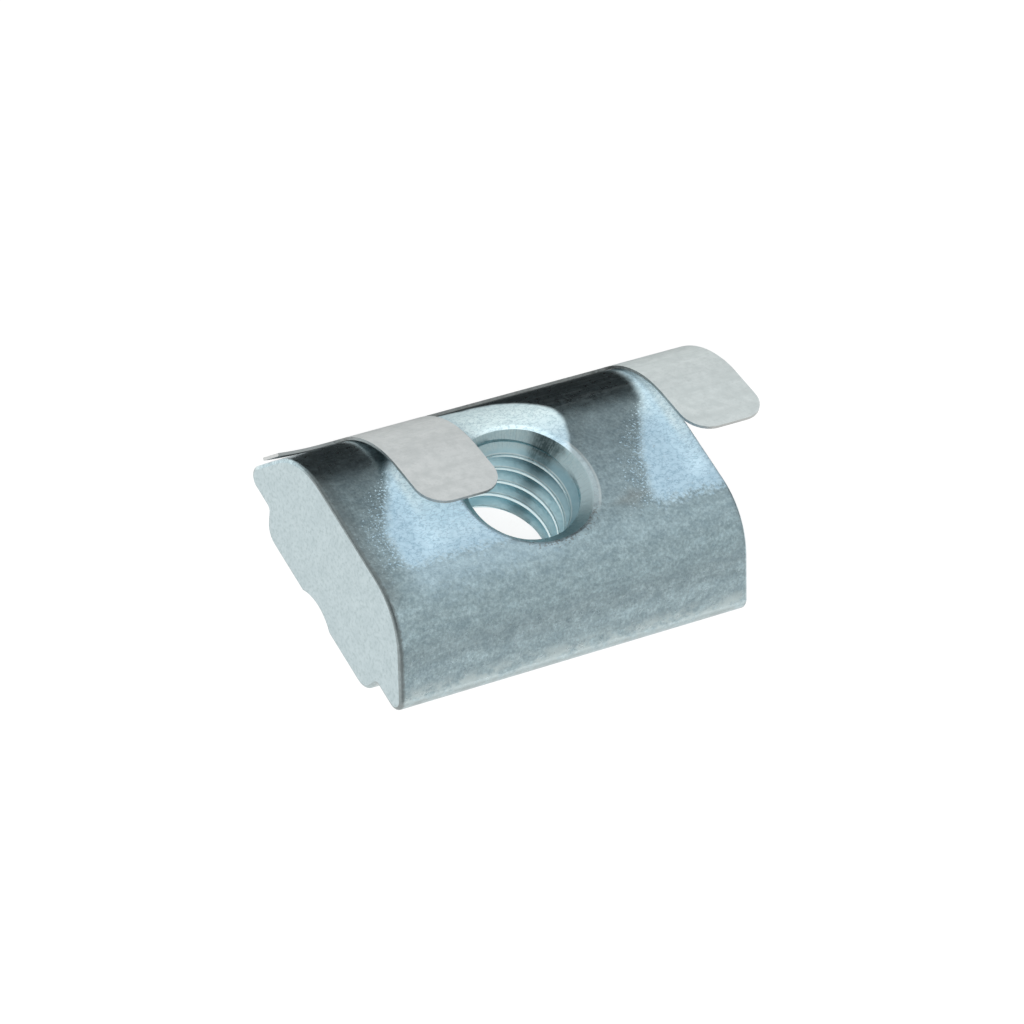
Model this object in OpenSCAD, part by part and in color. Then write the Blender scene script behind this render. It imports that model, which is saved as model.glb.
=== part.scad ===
// Profile T-nut with a spring sheet, for an 8 mm slot and an M5 screw.
// X runs along the slot, Y across it and Z up. The nut lies on its guide step, as it rests on a bench.
// The origin is where the thread axis meets the guide face.

/* [Nut body] */
// Length of the nut along the slot
nut_length = 15.75; // [12:0.05:24]
// Width over the two rounded shoulder edges
nut_width = 11.75; // [10.75:0.05:15]
// Height from the guide face to the crown
nut_height = 4.85; // [4.2:0.05:6]
// Lean of each flank from upright, in degrees
flank_lean = 31.5; // [24:0.5:36]
// Radius where a flank rolls over into the crown
crown_radius = 3.1; // [1.5:0.1:3.6]
// Radius of the two shoulder edges
shoulder_radius = 0.5; // [0.2:0.05:0.7]

/* [Guide step] */
// Width of the guide step at its face, before rounding
step_width = 7.8; // [7:0.05:8.4]
// Height of the guide step below the shoulders
step_height = 1.05; // [0.7:0.05:1.5]
// Draft of the guide step's sides, in degrees
step_draft = 22; // [5:1:30]
// Radius of the guide step's lower edges
step_radius = 0.8; // [0.3:0.05:0.9]
// Radius of the inner corners where the step meets the shoulders
step_root_radius = 0.2; // [0.05:0.05:0.3]
// Width of the shallow groove along the guide face
groove_width = 2.1; // [1:0.1:3]
// Depth of that groove
groove_depth = 0.34; // [0.1:0.02:0.45]

/* [Threaded hole] */
// Diameter over the thread crests, for M5
bore_diameter = 4.2; // [3.3:0.05:4.4]
// Diameter of the countersink at each face
countersink_diameter = 5.6; // [5:0.1:6.4]
// Angle of each countersink, in degrees
countersink_angle = 90; // [80:5:120]

/* [Spring sheet] */
// Thickness of the sheet
sheet_thickness = 0.12; // [0.08:0.01:0.25]
// Clearance between the sheet and the flank that it is fixed to
seat_clearance = 0.02; // [0.01:0.01:0.1]
// Height of the strip, from its lower edge up to the bend line
strip_height = 1.6; // [1.2:0.05:1.8]
// Distance from the nut's left end to the strip's left end
strip_inset = 0.3; // [0:0.05:1]
// Length of the sheet past the nut's right end
strip_overhang = 2.75; // [0.5:0.05:4]
// Length of the strip's left end that bows away from the flank
bow_length = 1.8; // [1:0.1:2.4]
// Radius of that bow
bow_radius = 16; // [10:1:40]

/* [Spring tabs] */
// Width of a tab along the slot
tab_width = 3.5; // [2.6:0.1:4.5]
// Distance from the nut's left end to the first tab
first_tab_inset = 2.95; // [2.8:0.05:4]
// Length of the flat free end of a tab
tab_flat = 2.4; // [1.5:0.05:3]
// Rise of the free end above the crown, in degrees
tab_rise = 10; // [4:1:25]
// Extra radius of a tab's bend over the crown radius that it clears
bend_lift = 1.4; // [0.3:0.1:2.5]
// Radius of the two corners at a tab's free end
tab_corner_radius = 1.08; // [0.3:0.02:1.25]
// Radius of the inner corners where a tab leaves the strip
tab_root_radius = 0.35; // [0.1:0.05:0.5]

/* [Hidden] */
$fn = 96;
// Length by which a cutter runs past the face that it opens
margin = 1;
// Length by which a rounding reaches past the edges that it joins
overlap = 0.1;

// Section of the nut: Y across, Z up, corners before rounding
shoulder_angle = 90 - flank_lean;
shoulder_half = nut_width / 2 + shoulder_radius * (1 / tan(shoulder_angle / 2) - 1);
crown_half = shoulder_half - (nut_height - step_height) * tan(flank_lean);
step_half = step_width / 2;
step_root_half = step_half + step_height * tan(step_draft);
groove_radius = (pow(groove_width / 2, 2) + pow(groove_depth, 2)) / (2 * groove_depth);
shoulder_corner = [shoulder_half, step_height];
crown_corner = [crown_half, nut_height];
step_corner = [step_half, 0];
step_root = [step_root_half, step_height];
guide_middle = [0, 0];

countersink_depth = (countersink_diameter - bore_diameter) / 2 / tan(countersink_angle / 2);

// Sheet on the back flank: distances up the flank are measured from the shoulder corner
flank_length = norm(crown_corner - shoulder_corner);
bend_start = flank_length - crown_radius * tan(shoulder_angle / 2);
bend_angle = shoulder_angle - tab_rise;
bend_radius = crown_radius + bend_lift;
bend_tangent = bend_radius * tan(bend_angle / 2);
up_flank = [-sin(flank_lean), cos(flank_lean)];
off_flank = [cos(flank_lean), sin(flank_lean)];
sheet_foot = shoulder_corner + off_flank * seat_clearance + up_flank * bend_start;
// Section of a tab in the sheet's own frame: up the flank from the bend line, and in towards the nut
off_root = [0, -sheet_thickness];
off_tab = [sin(bend_angle), -cos(bend_angle)] * sheet_thickness;
along_tab = [cos(bend_angle), sin(bend_angle)];
tab_root = [-strip_height, 0];
bend_inside = [bend_tangent, 0];
bend_outside = bend_inside + unit(off_root + off_tab) * sheet_thickness / cos(bend_angle / 2);
tab_end = bend_inside + along_tab * (bend_tangent + tab_flat);
strip_left = strip_inset - nut_length / 2;
strip_right = nut_length / 2 + strip_overhang;
first_tab_left = first_tab_inset - nut_length / 2;
end_tab_left = strip_right - tab_width;
bow_start = strip_left + bow_length;

function unit(v) = v / norm(v);
function across(p) = [-p[0], p[1]];

// The tip that a round of radius r takes off, or fills in, at corner v between points a and b
module corner_tip(v, a, b, r) {
    to_a = unit(a - v);
    to_b = unit(b - v);
    half_angle = acos(to_a * to_b) / 2;
    tangent = r / tan(half_angle);
    centre = v + unit(to_a + to_b) * r / sin(half_angle);
    reach = 1 + overlap / r;
    translate(centre) difference() {
        polygon([
            [0, 0],
            (v + to_a * tangent - centre) * reach,
            (v - centre) * reach,
            (v + to_b * tangent - centre) * reach
        ]);
        circle(r);
    }
}

module both_sides() {
    children();
    mirror([1, 0]) children();
}

// Stands a section drawn in Y and Z up along the slot, from x = start
module along_slot(start, length) {
    translate([start, 0, 0]) rotate([90, 0, 90]) linear_extrude(length) children();
}

// The nut's section before its step and its rounds are cut
module nut_blank() {
    foot = [shoulder_half, 0];
    polygon([
        foot,
        shoulder_corner,
        crown_corner,
        across(crown_corner),
        across(shoulder_corner),
        across(foot)
    ]);
}

// The space under a shoulder, beside the guide step
module step_notch() {
    outside = shoulder_half + margin;
    below_step = step_corner - unit(step_root - step_corner) * margin;
    difference() {
        polygon([below_step, step_root, [outside, step_height], [outside, -margin]]);
        corner_tip(step_root, step_corner, shoulder_corner, step_root_radius);
    }
}

module nut_section() {
    difference() {
        nut_blank();
        both_sides() {
            step_notch();
            corner_tip(step_corner, guide_middle, step_root, step_radius);
            corner_tip(shoulder_corner, step_root, crown_corner, shoulder_radius);
            corner_tip(crown_corner, shoulder_corner, across(crown_corner), crown_radius);
        }
        translate([0, groove_depth - groove_radius]) circle(groove_radius);
    }
}

// A countersink that opens upward from the bore, with its full width at z = 0
module countersink() {
    slope = tan(countersink_angle / 2);
    translate([0, 0, -countersink_depth])
        cylinder(
            h = countersink_depth + margin,
            d1 = bore_diameter,
            d2 = countersink_diameter + 2 * margin * slope
        );
}

module nut_body() {
    color([0.66, 0.73, 0.76]) difference() {
        along_slot(-nut_length / 2, nut_length) nut_section();
        translate([0, 0, -margin]) cylinder(h = nut_height + 2 * margin, d = bore_diameter);
        translate([0, 0, nut_height]) countersink();
        mirror([0, 0, 1]) countersink();
    }
}

// Places a shape in the sheet's frame: X along the slot, Y up the flank from the bend line, Z into the nut
module on_flank() {
    translate([0, sheet_foot[0], sheet_foot[1]]) rotate([90 + flank_lean, 0, 0]) children();
}

// Outline of the strip with the roots of its tabs, up to the bend line
module strip_outline() {
    difference() {
        translate([strip_left, -strip_height]) square([strip_right - strip_left, strip_height]);
        tab_gap(strip_left - margin, first_tab_left);
        tab_gap(first_tab_left + tab_width, end_tab_left);
    }
}

// The space beside a tab, from x = left to x = right, with its lower corners rounded
module tab_gap(left, right) {
    floor_left = [left, -tab_root_radius];
    floor_right = [right, -tab_root_radius];
    difference() {
        translate(floor_left) square([right - left, tab_root_radius + margin]);
        corner_tip(floor_left, floor_right, floor_left + [0, 1], tab_root_radius);
        corner_tip(floor_right, floor_left, floor_right + [0, 1], tab_root_radius);
    }
}

// Edge of the strip seen along the flank: straight, with its left end bowed off the nut
module bowed_edge() {
    translate([bow_start, -sheet_thickness]) square([strip_right - bow_start, sheet_thickness]);
    intersection() {
        translate([bow_start, -sheet_thickness - bow_radius]) difference() {
            circle(bow_radius + sheet_thickness);
            circle(bow_radius);
        }
        translate([strip_left, -bow_radius]) square([bow_length, bow_radius]);
    }
}

module strip() {
    intersection() {
        translate([0, 0, -bow_radius]) linear_extrude(bow_radius + margin) strip_outline();
        rotate([90, 0, 0]) linear_extrude(strip_height + margin) bowed_edge();
    }
}

// The space under a line that turns at a corner of radius r, closed through the points of the last list
module under_bend(from, corner, to, r, closing) {
    difference() {
        polygon(concat([from, corner, to], closing));
        corner_tip(corner, from, to, r);
    }
}

// Section of a tab: flat on the flank, bent over the crown, and flat again to its lifted free end
module tab_section() {
    below_root = tab_root - [margin, 0];
    past_end = tab_end + along_tab * margin;
    outer_radius = bend_radius + sheet_thickness;
    difference() {
        under_bend(tab_root + off_root, bend_outside, tab_end + off_tab, outer_radius, [tab_end, tab_root]);
        under_bend(below_root, bend_inside, past_end, bend_radius, []);
    }
}

// The two corners that are taken off a tab's free end
module tab_corners() {
    inward = [0, -1];
    right = [tab_width, 0];
    translate([0, tab_end[0], tab_end[1]]) rotate([bend_angle, 0, 0])
        translate([0, 0, -margin]) linear_extrude(2 * margin) {
            corner_tip([0, 0], right, inward, tab_corner_radius);
            corner_tip(right, [0, 0], right + inward, tab_corner_radius);
        }
}

module tab(left) {
    difference() {
        along_slot(left, tab_width) tab_section();
        translate([left, 0, 0]) tab_corners();
    }
}

module spring_sheet() {
    color([0.74, 0.74, 0.72]) on_flank() {
        strip();
        tab(first_tab_left);
        tab(end_tab_left);
    }
}

nut_body();
spring_sheet();
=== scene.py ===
"""Profile T-nut with a spring sheet: the looks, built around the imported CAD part.

Sizes are millimetres in the part's own frame (X along the slot, Y across it, Z up), and meshes are scaled
to metres when they are made. Only the studio round the part is placed in metres. Colours are linear RGB.
"""
import math

import bmesh
import bpy
from mathutils import Matrix, Vector


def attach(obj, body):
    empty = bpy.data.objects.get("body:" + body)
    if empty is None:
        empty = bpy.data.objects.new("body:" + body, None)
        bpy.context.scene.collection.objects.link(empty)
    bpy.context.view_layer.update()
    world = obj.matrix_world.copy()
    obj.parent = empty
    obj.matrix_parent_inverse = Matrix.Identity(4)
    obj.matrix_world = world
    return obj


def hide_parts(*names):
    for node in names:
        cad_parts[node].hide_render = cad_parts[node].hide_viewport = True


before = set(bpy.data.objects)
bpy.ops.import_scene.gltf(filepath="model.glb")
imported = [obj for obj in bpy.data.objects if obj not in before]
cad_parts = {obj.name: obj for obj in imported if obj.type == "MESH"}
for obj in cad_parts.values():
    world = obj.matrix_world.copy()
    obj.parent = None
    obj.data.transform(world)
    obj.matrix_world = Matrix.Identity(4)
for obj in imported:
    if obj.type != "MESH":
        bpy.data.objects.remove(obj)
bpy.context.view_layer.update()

MM = 0.001
# Distance below which two places count as the same
TINY = 1e-6

# Nut section, as in the CAD part
NUT_LENGTH = 15.75
NUT_WIDTH = 11.75
NUT_HEIGHT = 4.85
FLANK_LEAN = math.radians(31.5)
CROWN_RADIUS = 3.1
SHOULDER_RADIUS = 0.5
STEP_HALF = 3.9
STEP_HEIGHT = 1.05
STEP_DRAFT = math.radians(22)
STEP_RADIUS = 0.8
STEP_ROOT_RADIUS = 0.2
GROOVE_HALF = 1.05
GROOVE_DEPTH = 0.34
BORE_RADIUS = 2.1
COUNTERSINK_RADIUS = 2.8
COUNTERSINK_DEPTH = COUNTERSINK_RADIUS - BORE_RADIUS

# Spring sheet, as in the CAD part
SHEET = 0.12
SEAT_CLEARANCE = 0.02
STRIP_HEIGHT = 1.6
STRIP_LEFT = -7.575
STRIP_RIGHT = 10.625
BOW_LENGTH = 1.8
BOW_RADIUS = 16.0
TAB_WIDTH = 3.5
FIRST_TAB_LEFT = -4.925
END_TAB_LEFT = STRIP_RIGHT - TAB_WIDTH
FIRST_TAB = (FIRST_TAB_LEFT, FIRST_TAB_LEFT + TAB_WIDTH)
END_TAB = (END_TAB_LEFT, STRIP_RIGHT)
TAB_FLAT = 2.4
TAB_RISE = math.radians(10)
BEND_RADIUS = 4.5
TAB_CORNER_RADIUS = 1.08
TAB_ROOT_RADIUS = 0.35
# Y of the tabs' free ends
TAB_END_Y = -0.55

# Thread and soft edges, which only the visual model has
PITCH = 0.8
# Height of one crest at the hole's right side, and the turns that are swept below it and in all
CREST_Z = 3.74
TURNS_BELOW = 6
TURNS = 9
# Thread profile over one pitch: place from the crest's middle, in pitches, and depth outside the crest there
THREAD = [
    (-0.105, 0.010),
    (-0.075, 0.0),
    (0.0, 0.0),
    (0.075, 0.0),
    (0.105, 0.010),
    (0.135, 0.040),
    (0.275, 0.210),
    (0.415, 0.365),
    (0.445, 0.392),
    (0.500, 0.400),
    (0.555, 0.392),
    (0.585, 0.365),
    (0.725, 0.210),
    (0.865, 0.040),
]
END_ROUND = 0.14
RIM_ROUND = 0.07
# Rings of a softened rim, as shares of its round: drop below the face, and radius past the sharp rim
RIM_RINGS = ((0.28, 0.35), (0.75, -0.25))

# Mesh steps along the section's runs
EDGE_STEPS = 5
FLANK_STEPS = 10
ROLL_STEPS = 10
UNDER_EDGE_STEPS = 8
UNDER_SHOULDER_STEPS = 3
STEP_ROOT_STEPS = 4
STEP_SIDE_STEPS = 3
STEP_ROUND_STEPS = 6
GUIDE_FACE_STEPS = 1
# Half-width of the square patch that surrounds the hole on both faces, and its steps
PATCH = 3.25
PATCH_INNER_STEPS = 5
PATCH_OUTER_STEPS = 11
PATCH_RINGS = 9
# Power that crowds the patch's rings towards its outline
PATCH_CROWDING = 0.8
# Mesh steps between the patch and an end, round an end's edge and down an end face
SIDE_STATIONS = 14
END_ROUND_STEPS = 5
CAP_RUNGS = 8
# Smallest share of a mitre, and passes that settle a rim's radius
MITRE_LIMIT = 0.5
RIM_PASSES = 30
# Mesh steps of the sheet
BOW_STEPS = 8
BOW_TO_TAB_STEPS = 2
BETWEEN_TABS_STEPS = 20
TAB_MIDDLE_STEPS = 6
TAB_CORNER_STEPS = 10
STRIP_ROWS = 5
ROOT_ROWS = 3
TAB_ROWS = 22
CORNER_ROWS = 8
# Edges that turn more than this are shaded as sharp
NUT_SHARP = math.radians(38)
SPRING_SHARP = math.radians(35)

# Places of the materials on each piece
OUTSIDE, END_FACE, HOLE_WALL = range(3)
OUTER_FACE, SHEET_EDGE, INNER_FACE = range(3)

# Derived section points
SHOULDER_ANGLE = math.pi / 2 - FLANK_LEAN
SHOULDER_HALF = NUT_WIDTH / 2 + SHOULDER_RADIUS * (1 / math.tan(SHOULDER_ANGLE / 2) - 1)
SHOULDER_CENTRE = (NUT_WIDTH / 2 - SHOULDER_RADIUS, STEP_HEIGHT + SHOULDER_RADIUS)
CROWN_HALF = SHOULDER_HALF - (NUT_HEIGHT - STEP_HEIGHT) * math.tan(FLANK_LEAN)
CROWN_FLAT = CROWN_HALF - CROWN_RADIUS * math.tan(SHOULDER_ANGLE / 2)
STEP_ROOT_HALF = STEP_HALF + STEP_HEIGHT * math.tan(STEP_DRAFT)
GROOVE_RADIUS = (GROOVE_HALF ** 2 + GROOVE_DEPTH ** 2) / (2 * GROOVE_DEPTH)


def spread(a, b, steps):
    """Numbers from a to b in equal steps, both included."""
    return [a + (b - a) * i / steps for i in range(steps + 1)]


def arc(centre, radius, start, end, steps):
    """Points on an arc in the section plane, from angle start to angle end, both included."""
    return [
        (centre[0] + radius * math.cos(turn), centre[1] + radius * math.sin(turn))
        for turn in spread(start, end, steps)
    ]


def line(a, b, steps):
    """Points on a straight line in the section plane, from a to b, both included."""
    return list(zip(spread(a[0], b[0], steps), spread(a[1], b[1], steps)))


def chain(*runs):
    """Joins runs of points end to end, dropping the doubled points."""
    points = []
    for run in runs:
        for p in run:
            if not points or math.dist(p, points[-1]) > TINY:
                points.append(p)
    return points


def mirrored(points):
    """The same points on the section's other side, in reverse order."""
    return [(-y, z) for y, z in reversed(points)]


def top_z(y):
    """Height of the crown at y, inside the flat and the rounds beside it."""
    over = max(0.0, abs(y) - CROWN_FLAT)
    return NUT_HEIGHT - CROWN_RADIUS + math.sqrt(CROWN_RADIUS ** 2 - over ** 2)


def bottom_z(y):
    """Height of the guide face at y, with its groove."""
    if abs(y) >= GROOVE_HALF:
        return 0.0
    return GROOVE_DEPTH - GROOVE_RADIUS + math.sqrt(GROOVE_RADIUS ** 2 - y * y)


def two_paced(middle, end):
    """Numbers from 0 to end, in the patch's inner steps up to middle and in its outer steps from there."""
    return spread(0.0, middle, PATCH_INNER_STEPS) + spread(middle, end, PATCH_OUTER_STEPS)[1:]


def patch_marks():
    """Positions of the patch's grid lines, from -PATCH to PATCH, with lines on the groove's edges."""
    half = two_paced(GROOVE_HALF, PATCH)
    return [-v for v in reversed(half[1:])] + half


def upper_half():
    """Right half of the section's upper side, from its widest point in to the patch."""
    crown = (CROWN_FLAT, NUT_HEIGHT - CROWN_RADIUS)
    patch_angle = math.acos((PATCH - CROWN_FLAT) / CROWN_RADIUS)
    edge = arc(SHOULDER_CENTRE, SHOULDER_RADIUS, 0, FLANK_LEAN, EDGE_STEPS)
    roll = arc(crown, CROWN_RADIUS, FLANK_LEAN, patch_angle, ROLL_STEPS)
    return chain(edge, line(edge[-1], roll[0], FLANK_STEPS), roll)


def lower_half():
    """Right half of the section's lower side, from its widest point in to the patch."""
    edge = arc(SHOULDER_CENTRE, SHOULDER_RADIUS, 0, -math.pi / 2, UNDER_EDGE_STEPS)
    # The step's side faces outward and down; its rounds turn between that and straight down
    turn = math.pi / 2 - STEP_DRAFT
    root_tangent = STEP_ROOT_RADIUS * math.tan(turn / 2)
    root = (STEP_ROOT_HALF + root_tangent, STEP_HEIGHT - STEP_ROOT_RADIUS)
    step_tangent = STEP_RADIUS * math.tan(turn / 2)
    step = (STEP_HALF - step_tangent, STEP_RADIUS)
    root_round = arc(root, STEP_ROOT_RADIUS, math.pi / 2, math.pi - STEP_DRAFT, STEP_ROOT_STEPS)
    step_round = arc(step, STEP_RADIUS, -STEP_DRAFT, -math.pi / 2, STEP_ROUND_STEPS)
    return chain(
        edge,
        line(edge[-1], root_round[0], UNDER_SHOULDER_STEPS),
        root_round,
        line(root_round[-1], step_round[0], STEP_SIDE_STEPS),
        step_round,
        line(step_round[-1], (PATCH, 0.0), GUIDE_FACE_STEPS),
    )


MARKS = patch_marks()
UPPER = upper_half()
LOWER = lower_half()


def section():
    """Upper and lower side of the section as (y, z) points, each from right to left."""
    inner = MARKS[-2:0:-1]
    upper = UPPER + [(y, top_z(y)) for y in inner] + mirrored(UPPER)
    lower = LOWER + [(y, bottom_z(y)) for y in inner] + mirrored(LOWER)
    return upper, lower


def inset_loop(loop, distance):
    """The closed loop moved inward by a distance, each point along its own mitre."""
    count = len(loop)
    moved = []
    for i, (y, z) in enumerate(loop):
        last_y, last_z = loop[i - 1]
        next_y, next_z = loop[(i + 1) % count]
        before = Vector((y - last_y, z - last_z)).normalized()
        after = Vector((next_y - y, next_z - z)).normalized()
        inward = Vector((-before.y - after.y, before.x + after.x)).normalized()
        share = max(MITRE_LIMIT, inward.dot(Vector((-after.y, after.x))))
        moved.append((y + inward.x * distance / share, z + inward.y * distance / share))
    return moved


def hole_angles():
    """Angles of the hole's columns: one for each point on the patch's outline, from -45 degrees on."""
    half = two_paced(math.asin(GROOVE_HALF / COUNTERSINK_RADIUS), math.pi / 4)
    side = [-a for a in reversed(half[1:])] + half[:-1]
    return [a + quarter * math.pi / 2 for quarter in range(4) for a in side]


def patch_outline():
    """Points of the square patch's outline, one for each of the hole's columns."""
    run = MARKS[:-1]
    right = [(PATCH, v) for v in run]
    back = [(-v, PATCH) for v in run]
    left = [(-PATCH, -v) for v in run]
    front = [(v, -PATCH) for v in run]
    return right + back + left + front


ANGLES = hole_angles()
COLUMNS = len(ANGLES)


def rim_radius(angle, upward):
    """Radius where a countersink meets the crown (upward) or the guide face at this angle."""
    radius = COUNTERSINK_RADIUS
    for _ in range(RIM_PASSES):
        y = radius * math.sin(angle)
        if upward:
            depth = NUT_HEIGHT - top_z(y)
        else:
            depth = bottom_z(y)
        radius = COUNTERSINK_RADIUS - depth
    return radius


TOP_RIM = [rim_radius(a, True) for a in ANGLES]
BOTTOM_RIM = [rim_radius(a, False) for a in ANGLES]


def wall_radius(thread_radius, z):
    """Radius of the hole's wall: the thread, or a countersink where that is wider."""
    top = BORE_RADIUS + (z - (NUT_HEIGHT - COUNTERSINK_DEPTH))
    bottom = BORE_RADIUS + (COUNTERSINK_DEPTH - z)
    return max(thread_radius, top, bottom)


def wall_limits(rims, sign):
    """Heights where the hole's wall ends under each softened rim."""
    if sign > 0:
        return [NUT_HEIGHT - (COUNTERSINK_RADIUS - rim) - RIM_ROUND for rim in rims]
    return [COUNTERSINK_RADIUS - rim + RIM_ROUND for rim in rims]


def add_object(name, data):
    obj = bpy.data.objects.new(name, data)
    bpy.context.scene.collection.objects.link(obj)
    return obj


class MeshMaker:
    """Collects points and faces in millimetres, shares points that coincide, and makes one mesh object."""

    # Decimals of a millimetre to which two points have to agree to be shared
    DECIMALS = 5

    def __init__(self):
        self.points = []
        self.faces = []
        self.kinds = []
        self.index = {}

    def point(self, x, y, z):
        key = tuple(round(v, self.DECIMALS) for v in (x, y, z))
        if key not in self.index:
            self.index[key] = len(self.points)
            self.points.append((x, y, z))
        return self.index[key]

    def polar(self, radius, angle, z):
        return self.point(radius * math.cos(angle), radius * math.sin(angle), z)

    def face(self, corners, kind):
        """Adds a face without its doubled corners, unless too few corners are left."""
        ring = []
        for c in corners:
            if not ring or c != ring[-1]:
                ring.append(c)
        if len(ring) > 1 and ring[0] == ring[-1]:
            ring.pop()
        if len(ring) >= 3 and len(set(ring)) == len(ring):
            self.faces.append(ring)
            self.kinds.append(kind)

    def bridge(self, rings, kind):
        """Faces between each closed ring of points and the next one."""
        for near, far in zip(rings, rings[1:]):
            for i in range(len(near)):
                j = (i + 1) % len(near)
                self.face([near[i], far[i], far[j], near[j]], kind)

    def build(self, name, materials, sharp_angle):
        mesh = bpy.data.meshes.new(name)
        mesh.from_pydata([(x * MM, y * MM, z * MM) for x, y, z in self.points], [], self.faces)
        for m in materials:
            mesh.materials.append(m)
        mesh.polygons.foreach_set("material_index", self.kinds)
        mesh.validate()
        work = bmesh.new()
        work.from_mesh(mesh)
        bmesh.ops.recalc_face_normals(work, faces=work.faces)
        work.to_mesh(mesh)
        work.free()
        mesh.shade_smooth()
        mesh.set_sharp_from_angle(angle=sharp_angle)
        return add_object(name, mesh)


def add_long_faces(maker, loop):
    """Faces along the slot, apart from the two patches round the hole."""
    count = len(loop)
    right = spread(PATCH, NUT_LENGTH / 2 - END_ROUND, SIDE_STATIONS)[1:]
    stations = [-v for v in reversed(right)] + MARKS + right
    top_start = len(UPPER) - 1
    top_end = top_start + len(MARKS) - 1
    bottom_end = count - (len(LOWER) - 1)
    bottom_start = bottom_end - (len(MARKS) - 1)
    for a, b in zip(stations, stations[1:]):
        beside_hole = -PATCH - TINY < a and b < PATCH + TINY
        for i in range(count):
            on_patch = top_start <= i < top_end or bottom_start <= i < bottom_end
            if beside_hole and on_patch:
                continue
            j = (i + 1) % count
            maker.face([
                maker.point(a, *loop[i]),
                maker.point(b, *loop[i]),
                maker.point(b, *loop[j]),
                maker.point(a, *loop[j]),
            ], OUTSIDE)


def add_end(maker, loop, steps, sign):
    """One end's soft edge, and its face as columns from the upper side down to the lower one."""
    count = len(loop)
    half = NUT_LENGTH / 2
    rings = []
    for turn in spread(0.0, math.pi / 2, END_ROUND_STEPS):
        x = sign * (half - END_ROUND + END_ROUND * math.sin(turn))
        ring = inset_loop(loop, END_ROUND * (1 - math.cos(turn)))
        rings.append([maker.point(x, y, z) for y, z in ring])
    maker.bridge(rings, OUTSIDE)
    cap = inset_loop(loop, END_ROUND)
    columns = []
    for i in range(steps + 1):
        run = line(cap[i], cap[(count - i) % count], CAP_RUNGS)
        columns.append([maker.point(sign * half, y, z) for y, z in run])
    for a, b in zip(columns, columns[1:]):
        for r in range(CAP_RUNGS):
            maker.face([a[r], a[r + 1], b[r + 1], b[r]], END_FACE)


def add_patch(maker, rims, height, sign):
    """The patch round the hole on one face, from its square outline in to the softened rim."""
    outline = patch_outline()
    rings = []
    for k in range(PATCH_RINGS + 1):
        blend = (k / PATCH_RINGS) ** PATCH_CROWDING
        ring = []
        for (out_x, out_y), angle, rim in zip(outline, ANGLES, rims):
            start = rim + RIM_ROUND
            x = out_x + (start * math.cos(angle) - out_x) * blend
            y = out_y + (start * math.sin(angle) - out_y) * blend
            ring.append(maker.point(x, y, height(y)))
        rings.append(ring)
    for drop, past in RIM_RINGS:
        ring = []
        for angle, rim in zip(ANGLES, rims):
            radius = rim + RIM_ROUND * past
            z = height(radius * math.sin(angle)) - sign * RIM_ROUND * drop
            ring.append(maker.polar(radius, angle, z))
        rings.append(ring)
    limits = wall_limits(rims, sign)
    rings.append([maker.polar(wall_radius(BORE_RADIUS, z), angle, z) for angle, z in zip(ANGLES, limits)])
    maker.bridge(rings, OUTSIDE)


def add_wall(maker):
    """The threaded wall: a profile swept up a right-hand helix and cut off at both rims."""
    low = wall_limits(BOTTOM_RIM, -1)
    high = wall_limits(TOP_RIM, 1)
    start_z = CREST_Z - TURNS_BELOW * PITCH
    lanes = len(THREAD)

    def at(lane, step):
        phase, depth = THREAD[lane % lanes]
        turn, column = divmod(step + lane // lanes * COLUMNS, COLUMNS)
        angle = ANGLES[column]
        z = start_z + PITCH * (turn + phase + angle / (2 * math.pi))
        z = min(max(z, low[column]), high[column])
        if z in (low[column], high[column]):
            depth = 0.0
        return maker.polar(wall_radius(BORE_RADIUS + depth, z), angle, z)

    for step in range(TURNS * COLUMNS):
        for lane in range(lanes):
            maker.face([
                at(lane, step),
                at(lane, step + 1),
                at(lane + 1, step + 1),
                at(lane + 1, step),
            ], HOLE_WALL)


def make_nut(materials):
    maker = MeshMaker()
    upper, lower = section()
    loop = upper + lower[-2:0:-1]
    add_long_faces(maker, loop)
    for sign in (-1, 1):
        add_end(maker, loop, len(upper) - 1, sign)
    add_patch(maker, TOP_RIM, top_z, 1)
    add_patch(maker, BOTTOM_RIM, bottom_z, -1)
    add_wall(maker)
    return maker.build("nut", materials, NUT_SHARP)


# Spring sheet: X along the slot, and a run up the flank, round the bend and out along the tab
SHOULDER_CORNER = Vector((SHOULDER_HALF, STEP_HEIGHT))
CROWN_CORNER = Vector((CROWN_HALF, NUT_HEIGHT))
FLANK_UP = (CROWN_CORNER - SHOULDER_CORNER).normalized()
FLANK_OUT = Vector((FLANK_UP.y, -FLANK_UP.x))
BEND_START = (CROWN_CORNER - SHOULDER_CORNER).length - CROWN_RADIUS * math.tan(SHOULDER_ANGLE / 2)
BEND_LINE = SHOULDER_CORNER + FLANK_OUT * SEAT_CLEARANCE + FLANK_UP * BEND_START
BEND_ANGLE = SHOULDER_ANGLE - TAB_RISE
BEND_LENGTH = BEND_RADIUS * BEND_ANGLE
RUN_END = STRIP_HEIGHT + BEND_LENGTH + TAB_FLAT
GAP_FLOOR = STRIP_HEIGHT - TAB_ROOT_RADIUS
CORNER_START = RUN_END - TAB_CORNER_RADIUS
QUARTER = spread(0.0, math.pi / 2, TAB_CORNER_STEPS)


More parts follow.
